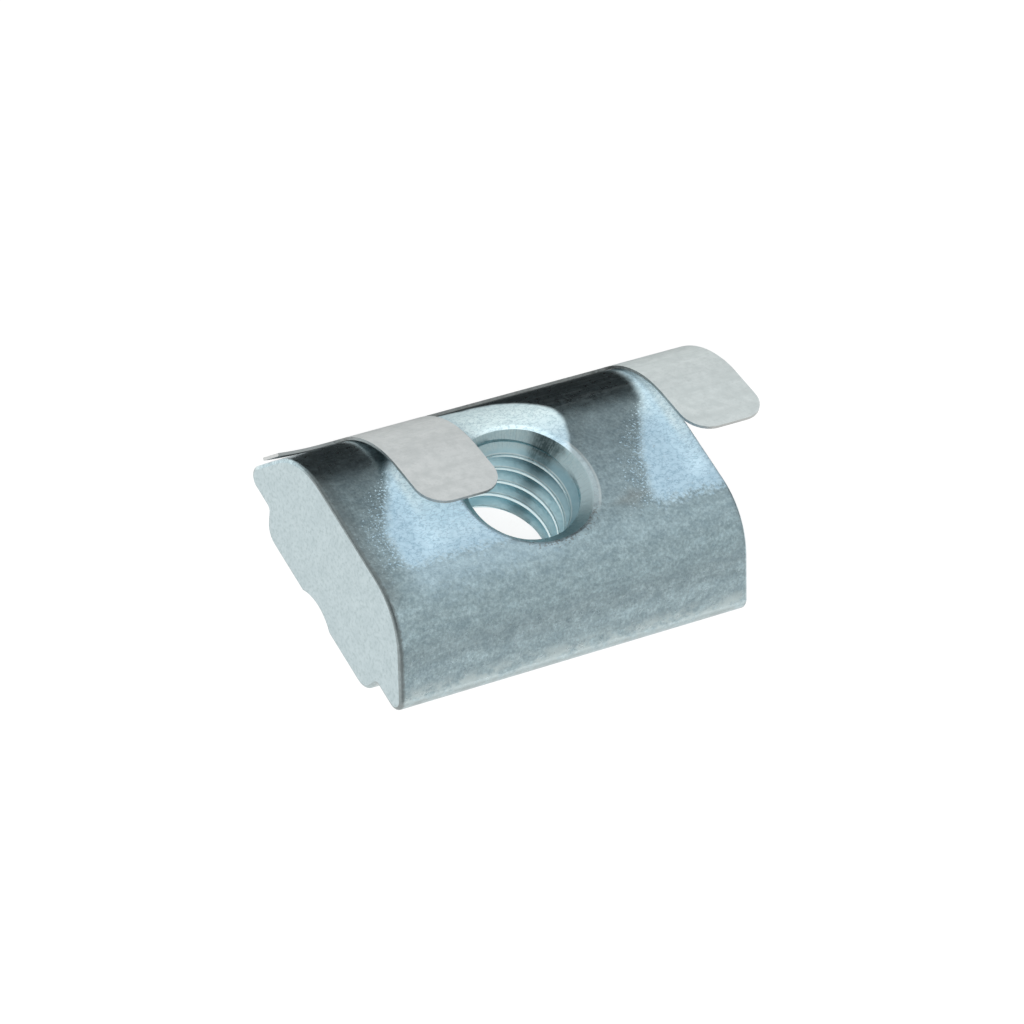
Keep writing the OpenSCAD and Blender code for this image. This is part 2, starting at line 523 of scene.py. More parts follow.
def sheet_place(x, run, out):
    """Point of the sheet at x, at a run up its inner face from the strip's lower edge, out from that face."""
    past = run - STRIP_HEIGHT
    if past <= 0:
        place = BEND_LINE + FLANK_UP * past
        normal = FLANK_OUT
    else:
        turn = min(past / BEND_RADIUS, BEND_ANGLE)
        spin = Matrix.Rotation(turn, 2)
        normal = spin @ FLANK_OUT
        place = BEND_LINE - FLANK_OUT * BEND_RADIUS + normal * BEND_RADIUS
        place += (spin @ FLANK_UP) * max(0.0, past - BEND_LENGTH)
    into_bow = STRIP_LEFT + BOW_LENGTH - x
    if into_bow > 0:
        out += BOW_RADIUS - math.sqrt(BOW_RADIUS ** 2 - into_bow ** 2)
    place = place + normal * out
    return x, place.x, place.y


def tab_columns(left, right):
    """Places of the columns across a tab, closer together at its corners."""
    corner = [TAB_CORNER_RADIUS * (1 - math.cos(q)) for q in QUARTER]
    near = [left + v for v in corner]
    far = [right - v for v in reversed(corner)]
    return near[:-1] + spread(near[-1], far[0], TAB_MIDDLE_STEPS) + far[1:]


def sheet_columns():
    """Places of the sheet's columns along the slot."""
    bow_end = STRIP_LEFT + BOW_LENGTH
    fillet = [TAB_ROOT_RADIUS * math.cos(q) for q in QUARTER[::2]]
    return (
        spread(STRIP_LEFT, bow_end, BOW_STEPS)[:-1]
        + spread(bow_end, FIRST_TAB[0] - TAB_ROOT_RADIUS, BOW_TO_TAB_STEPS)[:-1]
        + [FIRST_TAB[0] - v for v in fillet[:-1]]
        + tab_columns(*FIRST_TAB)[:-1]
        + [FIRST_TAB[1] + v for v in reversed(fillet[1:])]
        + spread(FIRST_TAB[1] + TAB_ROOT_RADIUS, END_TAB[0] - TAB_ROOT_RADIUS, BETWEEN_TABS_STEPS)[:-1]
        + [END_TAB[0] - v for v in fillet[:-1]]
        + tab_columns(*END_TAB)
    )


def corner_share(x, left, right):
    """Share of the corner's height that the tab keeps at x."""
    inside = min(x - left, right - x, TAB_CORNER_RADIUS)
    return math.sqrt(max(0.0, 1 - (1 - inside / TAB_CORNER_RADIUS) ** 2))


def root_share(x, left, right):
    """Share of the root's height that the tab, or the fillet beside it, has at x."""
    away = max(left - x, x - right, 0.0) / TAB_ROOT_RADIUS
    if away == 0:
        return 1.0
    return 1 - math.sqrt(max(0.0, 1 - (1 - away) ** 2))


def sheet_rows(x):
    """Runs of rows at this column, one list for each zone, or None where the column doesn't reach it."""
    strip = spread(0.0, GAP_FLOOR, STRIP_ROWS)
    root = main = corner = None
    for left, right in (FIRST_TAB, END_TAB):
        if left - TAB_ROOT_RADIUS - TINY <= x <= right + TAB_ROOT_RADIUS + TINY:
            root = spread(GAP_FLOOR, GAP_FLOOR + TAB_ROOT_RADIUS * root_share(x, left, right), ROOT_ROWS)
        if left - TINY <= x <= right + TINY:
            main = spread(STRIP_HEIGHT, CORNER_START, TAB_ROWS)
            top = CORNER_START + TAB_CORNER_RADIUS * corner_share(x, left, right)
            corner = spread(CORNER_START, top, CORNER_ROWS)
    return strip, root, main, corner


def sheet_quads():
    """The flat sheet's faces, each as four (x, run) corners."""
    quads = []
    columns = sheet_columns()
    for a, b in zip(columns, columns[1:]):
        for rows_a, rows_b in zip(sheet_rows(a), sheet_rows(b)):
            if rows_a is None or rows_b is None:
                continue
            for r in range(len(rows_a) - 1):
                quads.append([(a, rows_a[r]), (b, rows_b[r]), (b, rows_b[r + 1]), (a, rows_a[r + 1])])
    return quads


def make_spring(materials):
    """The sheet's two faces, and its edges where only one flat face meets a side."""
    maker = MeshMaker()
    sides = {}
    for quad in sheet_quads():
        for out, order, kind in ((0.0, quad, INNER_FACE), (SHEET, quad[::-1], OUTER_FACE)):
            maker.face([maker.point(*sheet_place(x, run, out)) for x, run in order], kind)
        ring = []
        for corner in quad:
            p = tuple(round(v, MeshMaker.DECIMALS) for v in corner)
            if p not in ring:
                ring.append(p)
        for p, q in zip(ring, ring[1:] + ring[:1]):
            key = frozenset((p, q))
            sides[key] = None if key in sides else (p, q)
    for p, q in filter(None, sides.values()):
        maker.face([
            maker.point(*sheet_place(*p, 0.0)),
            maker.point(*sheet_place(*q, 0.0)),
            maker.point(*sheet_place(*q, SHEET)),
            maker.point(*sheet_place(*p, SHEET)),
        ], SHEET_EDGE)
    return maker.build("spring", materials, SPRING_SHARP)


class Nodes:
    """Short ways to add and join nodes in one node tree."""

    def __init__(self, tree):
        self.tree = tree
        tree.nodes.clear()

    def add(self, kind, **values):
        node = self.tree.nodes.new(kind)
        for key, value in values.items():
            setattr(node, key, value)
        return node

    def put(self, socket, value):
        """Joins a socket to another one, or sets its own value."""
        if isinstance(value, bpy.types.NodeSocket):
            self.tree.links.new(value, socket)
        else:
            socket.default_value = value

    def math(self, operation, *values):
        node = self.add("ShaderNodeMath", operation=operation)
        for socket, value in zip(node.inputs, values):
            self.put(socket, value)
        return node.outputs[0]

    def fold(self, operation, value, *others):
        for other in others:
            value = self.math(operation, value, other)
        return value

    def product(self, *values):
        return self.fold("MULTIPLY", *values)

    def total(self, *values):
        return self.fold("ADD", *values)

    def largest(self, *values):
        return self.fold("MAXIMUM", *values)

    def minus(self, a, b):
        return self.math("SUBTRACT", a, b)

    def slope(self, value, rise, start):
        return self.math("MULTIPLY_ADD", value, rise, start)

    def apart(self, value, middle):
        return self.math("ABSOLUTE", self.minus(value, middle))

    def swing(self, noise, amount):
        """A noise made to swing about zero."""
        return self.product(self.minus(noise, 0.5), amount)

    def radius(self, x, y):
        return self.math("SQRT", self.total(self.product(x, x), self.product(y, y)))

    def ramp(self, value, low, high, to_low=0.0, to_high=1.0, smooth=True):
        """Maps value from low..high, which may run either way, to to_low..to_high, held at both ends."""
        node = self.add("ShaderNodeMapRange")
        node.interpolation_type = "SMOOTHSTEP" if smooth else "LINEAR"
        self.put(node.inputs["Value"], value)
        self.put(node.inputs["From Min"], low)
        self.put(node.inputs["From Max"], high)
        self.put(node.inputs["To Min"], to_low)
        self.put(node.inputs["To Max"], to_high)
        return node.outputs[0]

    def mix(self, factor, a, b, blend="MIX"):
        node = self.add("ShaderNodeMix", data_type="RGBA", blend_type=blend)
        self.put(node.inputs["Factor"], factor)
        for name, colour in (("A", a), ("B", b)):
            self.put(node.inputs[name], colour if isinstance(colour, bpy.types.NodeSocket) else (*colour, 1))
        return node.outputs["Result"]

    def tone(self, factor, colour, by):
        return self.mix(factor, colour, by, "MULTIPLY")

    def place(self, scale=(1, 1, 1), offset=(0, 0, 0)):
        """Object coordinates in millimetres, times a scale."""
        node = self.add("ShaderNodeMapping")
        self.put(node.inputs["Vector"], self.add("ShaderNodeTexCoord").outputs["Object"])
        self.put(node.inputs["Location"], offset)
        self.put(node.inputs["Scale"], tuple(v / MM for v in scale))
        return node.outputs["Vector"]

    def parts(self, vector):
        node = self.add("ShaderNodeSeparateXYZ")
        self.put(node.inputs[0], vector)
        return tuple(node.outputs)

    def axes(self):
        """Object coordinates in millimetres, one socket for each axis."""
        return self.parts(self.place())

    def texture(self, vector, scale, detail, rough):
        node = self.add("ShaderNodeTexNoise")
        self.put(node.inputs["Vector"], vector)
        self.put(node.inputs["Scale"], scale)
        self.put(node.inputs["Detail"], detail)
        self.put(node.inputs["Roughness"], rough)
        return node.outputs["Fac"]

    def noise(self, per_mm, detail=2.0, rough=0.5, stretch=(1, 1, 1), offset=(0, 0, 0)):
        return self.texture(self.place(stretch, offset), per_mm, detail, rough)

    def bump(self, height_mm):
        node = self.add("ShaderNodeBump")
        self.put(node.inputs["Strength"], 1.0)
        self.put(node.inputs["Distance"], MM)
        self.put(node.inputs["Height"], height_mm)
        return node.outputs[0]

    def metal(self, colour, roughness, height_mm, metallic=1.0):
        shader = self.add("ShaderNodeBsdfPrincipled")
        self.put(shader.inputs["Metallic"], metallic)
        self.put(shader.inputs["Base Color"], colour)
        self.put(shader.inputs["Roughness"], roughness)
        self.put(shader.inputs["Normal"], self.bump(height_mm))
        self.finish(shader)

    def finish(self, shader, kind="ShaderNodeOutputMaterial"):
        self.put(self.add(kind).inputs["Surface"], shader.outputs[0])


def new_nodes(name):
    material = bpy.data.materials.new(name)
    material.use_nodes = True
    return material, Nodes(material.node_tree)


# Patches of painted light on the crown, which are also rougher and less metallic. A slanted border is its
# rise in X per millimetre of Y, and its X at y = 0.
FIRST_LEFT_BORDER = (0.6, -6.33)
FIRST_LEFT_RANGE = (-6.6, -3.9)
FIRST_RIGHT_BORDER = (0.42, 2.15)
FIRST_BACK_Y = 4.4
FIRST_FRONT_Y = -2.15
SECOND_BORDERS = ((0.55, 5.36), (0.33, 5.3))
SECOND_BORDER_MOST = 6.95
SECOND_FRONT_Y = -2.35
BORDER_SOFTNESS = 0.6
CORNER_SOFTNESS = 1.5


def first_patch(n, x, y, ragged):
    """How far inside the first patch a point lies: from its left border, and from its rounded far corner."""
    least, most = FIRST_LEFT_RANGE
    border = n.math("SMOOTH_MIN", n.slope(y, *FIRST_LEFT_BORDER), most, BORDER_SOFTNESS)
    from_left = n.minus(x, n.largest(border, least))
    right = n.minus(n.slope(y, *FIRST_RIGHT_BORDER), x)
    ahead = n.largest(x, 0.0)
    arch = n.slope(n.product(ahead, ahead), -0.16, FIRST_BACK_Y)
    arch = n.total(arch, n.product(n.math("MINIMUM", x, 0.0), -0.2))
    corner = n.math("SMOOTH_MIN", right, n.minus(arch, y), CORNER_SOFTNESS)
    return from_left, n.total(corner, n.product(ragged, 0.5))


def painted_light_mask(n, x, y, z):
    """Where light is painted on the crown: two patches with slanted, grainy left borders."""
    ragged = n.swing(n.noise(1.6, 4.0, 0.6), 0.4)
    torn = n.total(n.swing(n.noise(1.3, 3.0, 0.6), 0.7), n.swing(n.noise(7.0, 3.0, 0.7), 1.9))
    grains = n.product(n.ramp(n.noise(10.5, 2.5, 0.65), 0.53, 0.70, 0.0, 1.35), n.ramp(y, 2.8, 0.6))
    loose = n.total(grains, ragged)
    # First patch, which stops short of the dark back round left of the first tab
    from_left, corner = first_patch(n, x, y, ragged)
    first = n.product(
        n.ramp(n.total(from_left, loose), -0.25, 0.5),
        n.ramp(corner, -0.26, 0.14),
        n.ramp(n.total(y, -FIRST_FRONT_Y, torn), -0.7, 0.45),
        n.largest(n.ramp(y, 3.3, 2.3), n.ramp(x, -3.6, -2.4)),
    )
    # Second patch: from a slanted border to the right end
    border = n.largest(*(n.slope(y, *slanted) for slanted in SECOND_BORDERS))
    border = n.minus(x, n.math("SMOOTH_MIN", border, SECOND_BORDER_MOST, BORDER_SOFTNESS))
    second = n.product(
        n.ramp(n.total(border, loose), -0.4, 0.35),
        n.ramp(y, 4.8, 3.4, 0.35, 1.0),
        n.ramp(n.total(y, -SECOND_FRONT_Y, torn), -0.55, 0.4),
    )
    # Faint painted light left of each border, and more that trails off in front of the first patch
    faint_light_left = n.ramp(from_left, -1.5, -0.2, 0.0, 0.12)
    faint_light_right = n.product(n.ramp(border, -3.4, -2.3, 0.0, 0.19), n.ramp(x, 2.0, 2.8))
    faint_light = n.product(n.largest(faint_light_left, faint_light_right), n.ramp(y, 2.9, 1.9), n.ramp(y, -2.5, -1.5))
    trail = n.product(
        n.ramp(n.total(y, torn), -4.1, -2.5, 0.0, 0.47),
        n.ramp(x, -0.5, 1.5, 1.0, 0.25),
        n.ramp(y, -0.8, -1.8),
        n.ramp(x, -7.3, -5.9),
    )
    # A faint band of painted light where the crown starts to roll over at the front
    band = n.product(n.ramp(y, -2.3, -2.8, 0.0, 0.13), n.ramp(y, -4.2, -3.2), n.ramp(x, -7.0, -5.5))
    patches = n.product(n.largest(first, second), n.ramp(z, 3.2, 3.5))
    return n.largest(patches, faint_light, trail, band)


def near_tab(n, x, y):
    """How close a point of the crown lies to the space under a tab, where more light is painted to make up
    for the tab's shadow.
    """
    beside_first = n.largest(n.minus(FIRST_TAB[0], x), n.minus(x, FIRST_TAB[1]))
    beside = n.math("MINIMUM", beside_first, n.minus(END_TAB[0], x))
    away = n.largest(beside, n.minus(TAB_END_Y - 0.75, y))
    return n.ramp(away, 0.8, -0.4, 0.0, 0.95)


def under_tab(n, x, y):
    """1 for a point of the crown that a tab covers, where the palest light is painted against the tab's
    shadow, fading out beside the tab and towards its free end.
    """
    within_first = n.math("MINIMUM", n.minus(x, FIRST_TAB[0]), n.minus(FIRST_TAB[1], x))
    inside = n.largest(within_first, n.minus(x, END_TAB[0]))
    return n.product(n.ramp(inside, -0.12, 0.25), n.ramp(y, -0.6, 1.4))


PAINTED_LIGHT_FRONT = (0.40, 0.56, 0.665)
PAINTED_LIGHT_BACK = (0.81, 0.98, 1.0)
PAINTED_LIGHT_NEAR_TAB = (0.62, 0.83, 0.95)
PAINTED_LIGHT_UNDER_TAB = (0.80, 0.955, 1.0)
PAINTED_LIGHT_GRAIN_TONE = (0.86, 0.89, 0.90)
PAINTED_LIGHT_VEIN_TONE = (0.66, 0.70, 0.73)


def painted_light_zinc(n, x, y, fine):
    crinkle = n.noise(5.5, 2.5, 0.6, (0.6, 1.0, 1.0), (5, 3, 0))
    veins = n.ramp(n.apart(crinkle, 0.5), 0.06, 0.0, 0.0, 0.8)
    # Painted light: paler towards the back of the crown
    pale = n.mix(n.ramp(y, 0.8, 3.2), PAINTED_LIGHT_FRONT, PAINTED_LIGHT_BACK)
    # Painted light near and under the tabs, making up for their shadows
    pale = n.mix(near_tab(n, x, y), pale, PAINTED_LIGHT_NEAR_TAB)
    pale = n.mix(under_tab(n, x, y), pale, PAINTED_LIGHT_UNDER_TAB)
    pale = n.tone(n.ramp(fine, 0.4, 0.66), pale, PAINTED_LIGHT_GRAIN_TONE)
    return n.tone(veins, pale, PAINTED_LIGHT_VEIN_TONE)


ZINC_LOW = (0.515, 0.65, 0.685)
ZINC_HIGH = (0.575, 0.715, 0.75)
ZINC_STREAK = (0.45, 0.56, 0.585)
ZINC_GRAIN = (0.41, 0.52, 0.55)
ZINC_PAINTED_SHADE = (0.21, 0.26, 0.275)
ZINC_ROLLED = (0.80, 0.93, 0.96)
GRIT_TONES = (0.80, 0.82, 0.83), (1.12, 1.12, 1.12)
CLOUD_TONES = (0.86, 0.88, 0.90), (1.10, 1.11, 1.12)
FRONT_PAINTED_TONES = (0.88, 0.88, 0.88), (1.09, 1.09, 1.09)


def plain_zinc(n, x, y, z, mottle, fine):
    streaks = n.noise(1.0, 2.0, 0.6, (0.12, 3.0, 3.0))
    plain = n.mix(n.ramp(mottle, 0.35, 0.65), ZINC_LOW, ZINC_HIGH)
    plain = n.mix(n.ramp(streaks, 0.3, 0.7, 0.0, 0.25), plain, ZINC_STREAK)
    plain = n.mix(n.ramp(fine, 0.38, 0.66, 0.0, 0.5), plain, ZINC_GRAIN)
    # Painted shade, darker left of the first tab
    painted_shade = n.product(n.ramp(x, -3.0, -5.0), n.ramp(y, 1.6, 2.4), n.ramp(y, 3.4, 2.9), 0.5)
    plain = n.mix(painted_shade, plain, ZINC_PAINTED_SHADE)
    grit = n.noise(8.5, 3.0, 0.7)
    plain = n.tone(n.ramp(grit, 0.42, 0.64), plain, GRIT_TONES[0])
    plain = n.tone(n.ramp(grit, 0.48, 0.34), plain, GRIT_TONES[1])
    cloud = n.noise(2.6, 4.0, 0.7, (0.6, 1.0, 1.0), (3, 7, 1))
    plain = n.tone(n.ramp(cloud, 0.45, 0.62), plain, CLOUD_TONES[0])
    plain = n.tone(n.ramp(cloud, 0.48, 0.36), plain, CLOUD_TONES[1])
    # Lighter rolling marks on the back round
    rolled = n.ramp(n.noise(1.0, 3.0, 0.65, (0.35, 4.0, 4.0), (2, 1, 0)), 0.48, 0.66)
    on_back = n.product(n.ramp(y, 2.4, 3.0), n.ramp(y, 4.7, 4.3))
    along = n.product(n.ramp(x, -3.0, 3.0, 0.25, 1.0), n.ramp(x, -7.6, -7.0))
    plain = n.mix(n.product(rolled, on_back, along, 0.7), plain, ZINC_ROLLED)
    # Painted reflection down the front: a darker band across the flank and a lighter one where it meets the
    # round
    front = n.ramp(y, -3.0, -3.6)
    lower = n.product(n.ramp(z, 3.5, 3.2), n.ramp(z, 2.6, 3.0), front)
    plain = n.tone(lower, plain, FRONT_PAINTED_TONES[0])
    upper = n.product(n.ramp(z, 3.4, 3.65), n.ramp(z, 4.3, 4.0), front)
    return n.tone(upper, plain, FRONT_PAINTED_TONES[1])


STAIN_PLACE = (3.9, -1.9)
STAIN = (0.40, 0.405, 0.375)
SPECK = (0.19, 0.175, 0.16)
RIM_PAINTED_HIGHLIGHT = (0.88, 0.98, 1.0)


def marks_and_highlight_by_hole(n, colour, x, y, mottle):
    # A faint brown stain right of the hole, towards the front
    away = n.total(n.apart(x, STAIN_PLACE[0]), n.product(n.apart(y, STAIN_PLACE[1]), 2.0))
    stain = n.product(n.ramp(away, 1.5, 0.3), n.ramp(mottle, 0.4, 0.6, 0.1, 0.4))
    colour = n.mix(stain, colour, STAIN)
    # Dark brown specks that gather at the hole's front rim
    radius = n.radius(x, y)
    to_front = n.total(y, n.product(x, -0.25))
    rim = n.product(n.ramp(radius, 3.25, 2.85), n.ramp(to_front, -1.2, -2.6))
    speck = n.total(n.noise(9.0, 2.0, 0.6, offset=(2, 9, 4)), n.product(rim, 0.17))
    speck = n.product(n.ramp(speck, 0.68, 0.80, 0.0, 0.6), n.ramp(y, 2.6, 1.2))
    colour = n.mix(speck, colour, SPECK)
    # Painted highlight: a bright line beside the countersink, on its right
    rim_highlight = n.product(
        n.ramp(radius, 3.03, 2.97),
        n.ramp(radius, 2.87, 2.95, 0.35, 0.8),
        n.ramp(x, 1.0, 2.2),
        n.ramp(y, -2.2, -1.4),
        n.ramp(y, 1.6, 0.9),
    )
    return n.mix(rim_highlight, colour, RIM_PAINTED_HIGHLIGHT)


RUBBED = (0.66, 0.765, 0.77)
WORN = (0.37, 0.43, 0.435)
END_EDGE_DARK = (0.20, 0.215, 0.21)


def wear_and_darkening_on_edges(n, colour, x, y, z, fine):
    # Plating worn in patches along the lower shoulder edges
    worn = n.noise(1.8, 5.0, 0.75, (0.7, 1, 1))
    rubbed = n.product(n.ramp(worn, 0.40, 0.58, 0.1, 0.9), n.ramp(z, 2.4, 1.9))
    colour = n.mix(rubbed, colour, RUBBED)
    worn = n.product(n.ramp(worn, 0.36, 0.62, 0.5, 1.0), n.ramp(z, 1.86, 1.6))
    colour = n.mix(worn, colour, WORN)
    # Darker along the edges of both ends, and over a wider band near the left end
    end = n.total(n.math("ABSOLUTE", x), n.product(fine, 0.16))
    edge = n.product(n.ramp(end, 7.72, 7.86), n.ramp(x, -4.0, 4.0, 0.75, 0.2))
    soft = n.product(n.ramp(end, 7.1, 7.75, 0.0, 0.42), n.ramp(x, 0.0, -4.0), n.ramp(y, -3.9, -3.0))
    end_darkening = n.product(n.largest(edge, soft), n.ramp(y, 4.2, 2.4), n.ramp(z, 0.9, 1.4))
    return n.mix(end_darkening, colour, END_EDGE_DARK)


# The crown's slight swell: its height in millimetres, and how far out from the middle it fades to nothing
SWELL_HEIGHT = 0.14
SWELL_REACH = 4.4


def make_zinc():
    material, n = new_nodes("zinc")
    x, y, z = n.axes()
    mottle = n.noise(1.1, 3.0, 0.55)
    fine = n.noise(5.0, 2.0, 0.6)
    # Where light is painted on the crown, which is also rougher and less metallic there
    painted_light = painted_light_mask(n, x, y, z)
    colour = n.mix(painted_light, plain_zinc(n, x, y, z, mottle, fine), painted_light_zinc(n, x, y, fine))
    colour = marks_and_highlight_by_hole(n, colour, x, y, mottle)
    colour = wear_and_darkening_on_edges(n, colour, x, y, z, fine)
    rough = n.total(n.ramp(painted_light, 0, 1, 0.31, 0.45), n.ramp(fine, 0.3, 0.7, -0.04, 0.05))
    pits = n.product(n.noise(11.0, 1.5, 0.6), n.ramp(y, 2.9, 1.8, 0.0003, 0.0045))
    waves = n.product(n.noise(1.6, 1.0), 0.010)
    across = n.math("MINIMUM", n.math("ABSOLUTE", y), SWELL_REACH)
    swell = n.product(n.math("COSINE", n.product(across, math.pi / SWELL_REACH)), SWELL_HEIGHT)
    n.metal(colour, rough, n.total(pits, waves, swell), n.ramp(painted_light, 0, 1, 1.0, 0.12))
    return material


END_LOW = (0.515, 0.605, 0.625)
END_HIGH = (0.56, 0.65, 0.67)
END_GRAIN = (0.46, 0.55, 0.56)


def make_zinc_end():
    material, n = new_nodes("zinc_end")
    mottle = n.noise(1.4, 3.0, 0.6)
    fine = n.noise(7.0, 2.0, 0.6)
    colour = n.mix(n.ramp(mottle, 0.3, 0.7), END_LOW, END_HIGH)
    colour = n.mix(n.ramp(fine, 0.45, 0.72, 0.0, 0.7), colour, END_GRAIN)
    rough = n.ramp(fine, 0.3, 0.7, 0.42, 0.55)
    n.metal(colour, rough, n.total(n.product(fine, 0.008), n.product(mottle, 0.012)))
    return material


WALL_LOW = (0.575, 0.835, 0.905)
WALL_HIGH = (0.655, 0.90, 0.96)
WALL_SIDE_PAINTED_SHADE = (0.53, 0.585, 0.61)
CREST_PAINTED_HIGHLIGHT = (0.84, 0.93, 0.93)
CONE_LOW = (0.51, 0.68, 0.715)
CONE_HIGH = (0.61, 0.76, 0.78)
CONE_LIT = (0.80, 0.96, 1.0)
SCRATCH_AND_REFLECTION_DARK = (0.115, 0.17, 0.18)
# Directions from the axis of the cone's painted dark reflection, and of the painted dark stripe of reflection
# that runs down the thread
REFLECTION_SECTOR_ANGLE = math.radians(38)
REFLECTION_STRIPE_ANGLE = math.radians(36)
# Scale of the scratches round the hole, per radian, and down it, per millimetre
SCRATCHES_ROUND = 30.0
SCRATCHES_DOWN = 1.2


def scratches(n, angle, z):
    """Noise that is drawn out down the hole's wall."""
    polar = n.add("ShaderNodeCombineXYZ")
    n.put(polar.inputs[0], n.product(angle, SCRATCHES_ROUND))
    n.put(polar.inputs[1], n.product(z, SCRATCHES_DOWN))
    return n.texture(polar.outputs[0], 1.6, 3.0, 0.5)


def make_zinc_thread():
    """The threaded wall and both countersinks, which the cutter has left streaked, with painted light and
    shade: a darker side, paler crests, a lit patch on the cone, and dark reflections in one sector and down
    the thread.
    """
    material, n = new_nodes("zinc_thread")
    x, y, z = n.axes()
    angle = n.math("ARCTAN2", y, x)
    mottle = n.noise(1.8, 2.0, 0.6)
    fine = n.noise(8.0, 2.0, 0.6)
    valley = n.ramp(n.radius(x, y), 2.11, 2.22)
    # Painted shade on the wall's right side, higher up, and a little all round near the top
    side = n.product(n.ramp(x, 0.5, 1.7), n.ramp(z, 2.3, 3.6))
    side = n.largest(side, n.ramp(z, 3.5, 4.0, 0.0, 0.4))
    wall = n.mix(n.ramp(mottle, 0.35, 0.65), WALL_LOW, WALL_HIGH)
    wall = n.tone(side, wall, WALL_SIDE_PAINTED_SHADE)
    # Painted highlight along the thread's crests
    wall = n.mix(n.ramp(valley, 0.0, 0.6, 0.7, 0.0), wall, CREST_PAINTED_HIGHLIGHT)
    lit = n.product(n.ramp(x, 0.8, 2.4), n.ramp(y, 1.0, -0.8, 0.0, 0.6))
    cone = n.mix(n.ramp(fine, 0.35, 0.65), CONE_LOW, CONE_HIGH)
    cone = n.mix(lit, cone, CONE_LIT)
    on_cone = n.largest(n.ramp(z, 4.0, 4.2), n.ramp(z, 0.8, 0.65))
    colour = n.mix(on_cone, wall, cone)
    # Painted dark reflection in one sector of the cone, streaked by its scratches and fading out on the first
    # turns, a painted dark stripe of reflection down the thread, and faint scratches all round the cone
    lines = scratches(n, angle, z)
    wander = n.swing(mottle, 0.3)
    from_sector = n.total(n.apart(angle, REFLECTION_SECTOR_ANGLE), wander)
    reflection_sector = n.product(n.ramp(from_sector, 0.36, 0.10), n.ramp(z, 3.5, 4.25))
    smear = n.total(n.product(lines, 0.5), n.product(fine, 0.5))
    painted_sector = n.product(n.ramp(smear, 0.34, 0.58, 0.45, 1.0), reflection_sector)
    from_stripe = n.total(n.apart(angle, REFLECTION_STRIPE_ANGLE), wander)
    reflection_stripe = n.product(n.ramp(from_stripe, 0.22, 0.03, 0.0, 0.36), valley)
    faint = n.product(n.ramp(lines, 0.52, 0.7, 0.0, 0.22), on_cone)
    colour = n.mix(n.largest(painted_sector, reflection_stripe, faint), colour, SCRATCH_AND_REFLECTION_DARK)
    rough = n.ramp(fine, 0.3, 0.7, 0.30, 0.42)
    n.metal(colour, rough, n.total(n.product(fine, 0.002), n.product(lines, on_cone, 0.006)))
    return material


STEEL_LOW = (0.59, 0.62, 0.62)
STEEL_HIGH = (0.69, 0.715, 0.715)
STEEL_ROLLED = (0.54, 0.565, 0.565)
STEEL_GRAIN = (0.49, 0.505, 0.50)
STEEL_LEFT_PAINTED_TONE = (0.935, 0.945, 0.945)
STEEL_RIGHT_PAINTED_TONE = (1.0, 1.05, 1.05)
STEEL_BEND_PAINTED_LIGHT = (1.38, 1.38, 1.37)


def make_steel():
    material, n = new_nodes("spring_steel")
    x, y, _ = n.axes()
    cloud = n.noise(2.4, 4.0, 0.65)
    fine = n.noise(9.0, 2.0, 0.6)
    rolled = n.noise(1.0, 3.0, 0.6, (0.18, 2.2, 2.2))
    colour = n.mix(n.ramp(cloud, 0.3, 0.7), STEEL_LOW, STEEL_HIGH)
    colour = n.mix(n.ramp(rolled, 0.42, 0.68, 0.0, 0.45), colour, STEEL_ROLLED)
    colour = n.mix(n.ramp(fine, 0.5, 0.8, 0.0, 0.35), colour, STEEL_GRAIN)
    # Painted light: the sheet darker at the first tab and lighter at the end tab
    colour = n.tone(1.0, colour, n.mix(n.ramp(x, -1.0, 7.0), STEEL_LEFT_PAINTED_TONE, STEEL_RIGHT_PAINTED_TONE))
    # Painted light on the tabs' bends
    colour = n.tone(n.ramp(y, 2.0, 4.0), colour, STEEL_BEND_PAINTED_LIGHT)
    rough = n.ramp(rolled, 0.3, 0.7, 0.46, 0.58)
    n.metal(colour, rough, n.total(n.product(fine, 0.0025), n.product(rolled, 0.006)), 0.25)
    return material


INNER_SHADE_LOW = (0.55, 0.57, 0.57)
INNER_SHADE_HIGH = (0.65, 0.67, 0.67)
INNER_END_PAINTED_LIGHT = (0.72, 0.74, 0.74)


def make_steel_inner():
    """The sheet's inner face, painted darker as shade, and painted lighter at the strip's left end."""
    material, n = new_nodes("spring_inner")
    x, _, _ = n.axes()
    cloud = n.noise(2.0, 3.0, 0.6)
    colour = n.mix(n.ramp(cloud, 0.3, 0.7), INNER_SHADE_LOW, INNER_SHADE_HIGH)
    colour = n.mix(n.ramp(x, -5.4, -6.2), colour, INNER_END_PAINTED_LIGHT)
    rough = n.ramp(cloud, 0.3, 0.7, 0.45, 0.58)
    n.metal(colour, rough, n.product(cloud, 0.004), 0.4)
    return material


EDGE_LOW = (0.30, 0.31, 0.30)
EDGE_HIGH = (0.46, 0.47, 0.46)
EDGE_PAINTED_LIGHT = (0.72, 0.74, 0.735)


def make_steel_edge():
    """The sheet's cut edges, darker than its faces, with painted light on top and at the strip's left end."""
    material, n = new_nodes("spring_edge")
    x, _, z = n.axes()
    fine = n.noise(6.0, 2.0, 0.6)
    dark = n.mix(n.ramp(fine, 0.3, 0.7), EDGE_LOW, EDGE_HIGH)
    painted_light_edge = n.largest(n.ramp(z, 3.6, 4.3, 0.0, 0.225), n.ramp(x, -4.2, -5.4, 0.0, 0.63))
    colour = n.mix(painted_light_edge, dark, EDGE_PAINTED_LIGHT)
    n.metal(colour, n.ramp(fine, 0.3, 0.7, 0.35, 0.5), n.product(fine, 0.004))
    return material


# In the order of OUTSIDE, END_FACE and HOLE_WALL
nut = make_nut([make_zinc(), make_zinc_end(), make_zinc_thread()])
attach(nut, "root")
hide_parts("nut_body")

